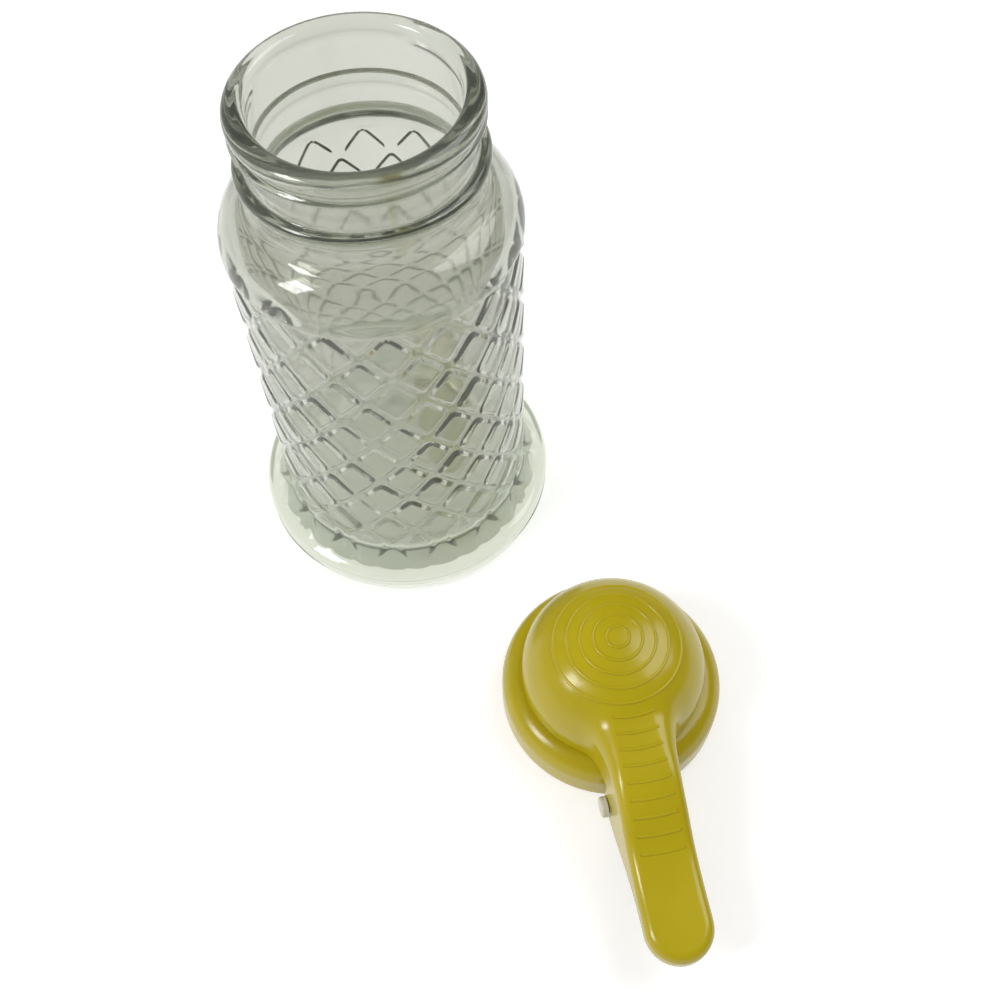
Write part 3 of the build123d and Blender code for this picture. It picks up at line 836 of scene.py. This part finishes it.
def make_ridges(yellow):
    """Short ridges across the lever, on circles about the same axis."""
    lines = []
    for k in range(RIDGES):
        r = RIDGE_FIRST + RIDGE_PITCH * k
        spread = math.asin(RIDGE_REACH / r)
        t = np.linspace(-spread, spread, 25)
        lines.append(np.stack([r * np.sin(t), r * np.cos(t), 0 * t], 1))
    return make_beads("thumb_ridges", lines, False, yellow)


def make_collar(yellow):
    """Skirt, deck and spout as one ring, from the skirt's foot round to its inside."""
    root = COLLAR_R - COLLAR_WALL
    foot = COLLAR_FOOT_ROUND
    tube = SPOUT_R + SPOUT_WALL
    under = DECK_TOP - DECK_T
    reach = math.degrees(math.asin((DECK_TOP - COLLAR_STRAIGHT) / COLLAR_SHOULDER))
    profile = [(root, 0.3), (root + 0.2, 0.0), (COLLAR_R - foot, 0.0)]
    profile += arc((COLLAR_R - foot, foot), foot, -90, 0, 8)
    profile += [(COLLAR_R, z) for z in (3, 5, 7, COLLAR_STRAIGHT)]
    profile += arc((COLLAR_R - COLLAR_SHOULDER, COLLAR_STRAIGHT), COLLAR_SHOULDER, 0, reach, 18)
    profile += [(r, DECK_TOP) for r in (24, 21, 18, tube + 0.6)]
    profile += [(tube + 0.15, DECK_TOP + 0.2), (tube, DECK_TOP + 0.7), (tube, 20)]
    profile += [(tube, SPOUT_TOP - 2.5), (tube + SPOUT_LIP * 0.5, SPOUT_TOP - 1.2)]
    profile += [(tube + SPOUT_LIP, SPOUT_TOP - 0.3), (tube + 1.0, SPOUT_TOP), (tube + 0.3, SPOUT_TOP)]
    profile += [(tube - 0.4, SPOUT_TOP - 0.7), (SPOUT_R, SPOUT_TOP - 2.5), (SPOUT_R, 20)]
    profile += [(r, under) for r in (SPOUT_R, 20, root - SOCKET_ROUND)]
    profile += arc((root - SOCKET_ROUND, under - SOCKET_ROUND), SOCKET_ROUND, 90, 0, 7)
    profile += [(root, 4)]
    collar = spun("collar_and_spout", profile, 256, LID_PLACE)
    return finish_piece(collar, "lid", "yellow_plastic", yellow, "screw_collar", "pour_spout")


def ear_distance(p):
    """Distance to the two hinge ears, round about the pin and rooted in the skirt."""
    x, y, z = p
    plate = np.abs(np.abs(x) - EAR_WIDE + EAR_T / 2) - EAR_T / 2
    back = math.sqrt(COLLAR_R**2 - EAR_WIDE**2) - COLLAR_WALL / 2
    bar = np.maximum(np.abs(z - PIN_Z) - EAR_R, np.maximum(back - y, y - PIN_Y))
    from_pin = np.hypot(y - PIN_Y, z - PIN_Z)
    ear = smooth_max(plate, np.minimum(bar, from_pin - EAR_R), blend=0.5)
    return np.maximum(ear, PIN_R + PIN_CLEAR - from_pin)


def make_ears(yellow):
    """The two ears that hold the pin."""
    points, faces = net(ear_distance, *EAR_ROOM)
    ears = mesh_object("hinge_ears", points, faces, LID_PLACE)
    return finish_piece(ears, "lid", "yellow_plastic", yellow)


def make_collar_thread(yellow):
    """Helical bead inside the skirt that takes the jar's thread."""
    turn = np.linspace(0, SKIRT_THREAD_TURNS, 140)
    angle = 2 * np.pi * turn
    r = COLLAR_R - COLLAR_WALL
    line = np.stack([r * np.cos(angle), r * np.sin(angle), SKIRT_THREAD_LOW + THREAD_PITCH * turn], 1)
    thread = swept("collar_thread", [line], False, SKIRT_THREAD_R, yellow)
    return finish_piece(thread, "lid", "yellow_plastic", yellow)


def make_spring(steel):
    """Torsion coil round the pin: one leg under the lever's rib, one against the skirt."""
    half = COIL_TURNS * COIL_PITCH / 2
    turn = np.linspace(0, COIL_TURNS, 105)
    angle = 2 * np.pi * turn
    coil = np.stack([turn * COIL_PITCH - half, PIN_Y - COIL_R * np.sin(angle),
                     PIN_Z + COIL_R * np.cos(angle)], 1)
    under_rib = [(-half, RIB_AT + LEG_PAST, PIN_Z + COIL_R)]
    skirt = math.sqrt(COLLAR_R**2 - half**2) + WIRE_R + LEG_CLEAR
    on_skirt = [(half, skirt, PIN_Z - EAR_R + LEG_LIFT)]
    spring = swept("coil_spring", [np.concatenate([under_rib, coil, on_skirt])], False, WIRE_R, steel)
    give_material(spring, steel)
    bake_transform(spring)
    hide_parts("return_spring")


# ---- materials --------------------------------------------------------------------------
def new_material(name):
    """A material, its node tree and its Principled shader."""
    material = bpy.data.materials.new(name)
    material.use_nodes = True
    tree = material.node_tree
    return material, tree, tree.nodes["Principled BSDF"]


def group(name, inputs, outputs):
    """An empty shader group with its sockets: the tree, its input node and its output node."""
    tree = bpy.data.node_groups.new(name, "ShaderNodeTree")
    for label, kind, value in inputs:
        socket = tree.interface.new_socket(label, in_out="INPUT", socket_type=kind)
        socket.default_value = value
    for label, kind in outputs:
        tree.interface.new_socket(label, in_out="OUTPUT", socket_type=kind)
    return tree, tree.nodes.new("NodeGroupInput"), tree.nodes.new("NodeGroupOutput")


def moulded_skin():
    """Shared look of a moulding: slow colour drift, handled roughness and fine ripple."""
    tree, source, sink = group(
        "moulded_skin",
        [("Color", "NodeSocketColor", (0.5, 0.5, 0.5, 1)), ("Drift", "NodeSocketFloat", 0.06),
         ("Scale", "NodeSocketFloat", 60.0), ("Roughness", "NodeSocketFloat", 0.3),
         ("Handling", "NodeSocketFloat", 0.1), ("Ripple", "NodeSocketFloat", 0.2)],
        [("Color", "NodeSocketColor"), ("Roughness", "NodeSocketFloat"), ("Height", "NodeSocketFloat")])
    get, link = source.outputs, tree.links.new
    slow, fine = noise_node(tree, get["Scale"], 4), noise_node(tree, 900, 3)
    darker = math_node(tree, "SUBTRACT", 1.0, get["Drift"])
    lighter = math_node(tree, "ADD", 1.0, get["Drift"])
    tint = tree.nodes.new("ShaderNodeVectorMath")
    tint.operation = "SCALE"
    link(get["Color"], tint.inputs[0])
    link(range_node(tree, slow, 0.3, 0.7, darker, lighter), tint.inputs["Scale"])
    worn = math_node(tree, "MULTIPLY_ADD", fine, get["Handling"], get["Roughness"])
    link(tint.outputs[0], sink.inputs["Color"])
    link(worn, sink.inputs["Roughness"])
    link(math_node(tree, "MULTIPLY", slow, get["Ripple"]), sink.inputs["Height"])
    return tree


def moulded(name, skin, metallic=0.0, **values):
    """Principled material fed by the shared skin with its own values."""
    material, tree, shader = new_material(name)
    look = tree.nodes.new("ShaderNodeGroup")
    look.node_tree = skin
    for key, value in values.items():
        look.inputs[key.title()].default_value = value
    link = tree.links.new
    link(look.outputs["Color"], shader.inputs["Base Color"])
    link(look.outputs["Roughness"], shader.inputs["Roughness"])
    link(bump_node(tree, look.outputs["Height"], 0.3, 0.0002), shader.inputs["Normal"])
    shader.inputs["Metallic"].default_value = metallic
    shader.inputs["IOR"].default_value = 1.5
    return material


def make_glass():
    """Soda glass, faintly grey-green through its thickness, that casts a light shadow; its grey base colour
    is painted shade for the dimmer room seen through it.
    """
    material, tree, shader = new_material("soda_glass")
    new, link, sink = tree.nodes.new, tree.links.new, tree.nodes["Material Output"]
    # grey base colour: painted shade standing in for the dimmer room seen through the glass
    shader.inputs["Base Color"].default_value = (0.72, 0.725, 0.67, 1)
    shader.inputs["Transmission Weight"].default_value = 0.93
    shader.inputs["Roughness"].default_value = 0.08
    shader.inputs["IOR"].default_value = 1.5
    link(bump_node(tree, noise_node(tree, 90, 2), 0.15, 0.0006), shader.inputs["Normal"])
    depth = new("ShaderNodeVolumeAbsorption")
    depth.inputs["Color"].default_value = (0.36, 0.42, 0.28, 1)
    depth.inputs["Density"].default_value = 40.0
    link(depth.outputs[0], sink.inputs["Volume"])
    clear, mix = new("ShaderNodeBsdfTransparent"), new("ShaderNodeMixShader")
    clear.inputs["Color"].default_value = (0.8, 0.82, 0.78, 1)
    path = new("ShaderNodeLightPath")
    link(path.outputs["Is Shadow Ray"], mix.inputs["Fac"])
    link(shader.outputs[0], mix.inputs[1])
    link(clear.outputs[0], mix.inputs[2])
    link(mix.outputs[0], sink.inputs["Surface"])
    return material


# ---- room -------------------------------------------------------------------------------
FRAME_PX = 1000  # the photograph's width
FOCAL_PX = 1158.3  # focal length of the camera fitted to it
SENSOR = 36.0
CAMERA_AT = (0, -0.2097, 0.3157)
CAMERA_TURN = 8.02  # degrees
CAMERA_DOWN = 58.16
CAMERA_ROLL = 1.65
FLOOR_HALF = 3.0
FLOOR_GLOW = 0.45
ROOM_FILL = 0.5  # strength of the even light from all round
# (place, aim, size, power) of each lamp
LAMPS = {
    "window_left": ((-0.75, -0.25, 0.75), (0, -0.05, 0.05), (0.25, 0.4), 4.5),
    "sky_soft": ((0.85, 0.15, 1.1), (0.02, -0.05, 0), (0.9, 0.9), 8),
}


def make_camera():
    """Camera fitted to the photograph."""
    turn, down, roll = (math.radians(a) for a in (CAMERA_TURN, CAMERA_DOWN, CAMERA_ROLL))
    ahead = Vector((math.sin(turn) * math.cos(down), math.cos(turn) * math.cos(down), -math.sin(down)))
    right = Vector((math.cos(turn), -math.sin(turn), 0))
    under = ahead.cross(right)
    x = right * math.cos(roll) + under * math.sin(roll)
    y = -(under * math.cos(roll) - right * math.sin(roll))
    data = bpy.data.cameras.new("camera")
    data.sensor_width = SENSOR
    data.lens = FOCAL_PX / FRAME_PX * SENSOR
    data.clip_start = 0.01
    camera = bpy.data.objects.new("camera", data)
    basis = Matrix((x, y, -ahead)).transposed().to_4x4()
    camera.matrix_world = Matrix.Translation(CAMERA_AT) @ basis
    bpy.context.scene.collection.objects.link(camera)
    bpy.context.scene.camera = camera


def make_lamp(name, spot, aim, size, power):
    """Soft area lamp."""
    data = bpy.data.lights.new(name, "AREA")
    data.shape, data.size, data.size_y = "RECTANGLE", size[0], size[1]
    data.energy = power
    lamp = bpy.data.objects.new(name, data)
    lamp.location = spot
    lamp.rotation_mode = "QUATERNION"
    lamp.rotation_quaternion = (Vector(aim) - Vector(spot)).to_track_quat("-Z", "Y")
    bpy.context.scene.collection.objects.link(lamp)


def make_floor():
    """Pale floor that shows white to the camera and in glass, and keeps the shadows."""
    mesh = bpy.data.meshes.new("floor")
    corners = [(x * FLOOR_HALF, y * FLOOR_HALF, 0) for x, y in ((-1, -1), (1, -1), (1, 1), (-1, 1))]
    mesh.from_pydata(corners, [], [(0, 1, 2, 3)])
    floor = bpy.data.objects.new("floor", mesh)
    bpy.context.scene.collection.objects.link(floor)
    material, tree, shader = new_material("pale_floor")
    shader.inputs["Base Color"].default_value = (0.8, 0.8, 0.8, 1)
    shader.inputs["Roughness"].default_value = 1.0
    shader.inputs["Specular IOR Level"].default_value = 0.0
    shader.inputs["Emission Color"].default_value = (1, 1, 1, 1)
    seen = tree.nodes.new("ShaderNodeLightPath").outputs
    direct = math_node(tree, "ADD", seen["Is Camera Ray"], seen["Is Glossy Ray"])
    direct = math_node(tree, "ADD", direct, seen["Is Transmission Ray"])
    direct = math_node(tree, "MINIMUM", direct, 1.0)
    glow = math_node(tree, "MULTIPLY", direct, FLOOR_GLOW)
    tree.links.new(glow, shader.inputs["Emission Strength"])
    mesh.materials.append(material)


def make_world():
    """White near the horizon, a darker room overhead, even and plain for the light it gives."""
    world = bpy.data.worlds.new("room")
    bpy.context.scene.world = world
    world.use_nodes = True
    tree = world.node_tree
    new, link, back = tree.nodes.new, tree.links.new, tree.nodes["Background"]
    back.inputs["Color"].default_value = (1, 1, 1, 1)
    place, split = new("ShaderNodeTexCoord"), new("ShaderNodeSeparateXYZ")
    link(place.outputs["Generated"], split.inputs[0])
    across, height = split.outputs["X"], split.outputs["Z"]
    ray = new("ShaderNodeLightPath").outputs
    shown = range_node(tree, height, 0.15, 0.6, 1.0, 0.28)
    mirrored = range_node(tree, height, 0.1, 0.5, 0.55, 0.05)
    side = range_node(tree, across, -1.0, 1.0, 1.2, 0.3)
    through = math_node(tree, "MAXIMUM", ray["Is Camera Ray"], ray["Is Transmission Ray"])
    level = mix_node(tree, through, ROOM_FILL, shown)
    level = mix_node(tree, ray["Is Glossy Ray"], level, mirrored)
    link(math_node(tree, "MULTIPLY", level, side), back.inputs["Strength"])


make_camera()
make_floor()
make_world()
for name, values in LAMPS.items():
    make_lamp(name, *values)

skin = moulded_skin()
glass = make_glass()
yellow = moulded("mustard_moulding", skin, color=(0.50, 0.395, 0.006, 1), drift=0.05, scale=45.0,
                 roughness=0.16, handling=0.12, ripple=0.4)
natural = moulded("natural_nylon", skin, color=(0.72, 0.70, 0.60, 1), drift=0.05, scale=300.0,
                  roughness=0.35, handling=0.1, ripple=0.2)
white = moulded("soft_seal", skin, color=(0.80, 0.80, 0.75, 1), drift=0.04, scale=120.0,
                roughness=0.6, handling=0.2, ripple=0.2)
steel = moulded("spring_wire", skin, metallic=1.0, color=(0.60, 0.60, 0.60, 1), drift=0.05, scale=500.0,
                roughness=0.25, handling=0.2, ripple=0.1)

make_jar(glass)
make_cover(yellow)
make_rings(yellow)
make_ridges(yellow)
make_collar(yellow)
make_ears(yellow)
make_collar_thread(yellow)
make_spring(steel)
for node, material in (("lip_gasket", white), ("pour_seal", white), ("hinge_pin", natural)):
    give_material(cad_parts[node], material)

bpy.context.scene.view_settings.view_transform = "Standard"
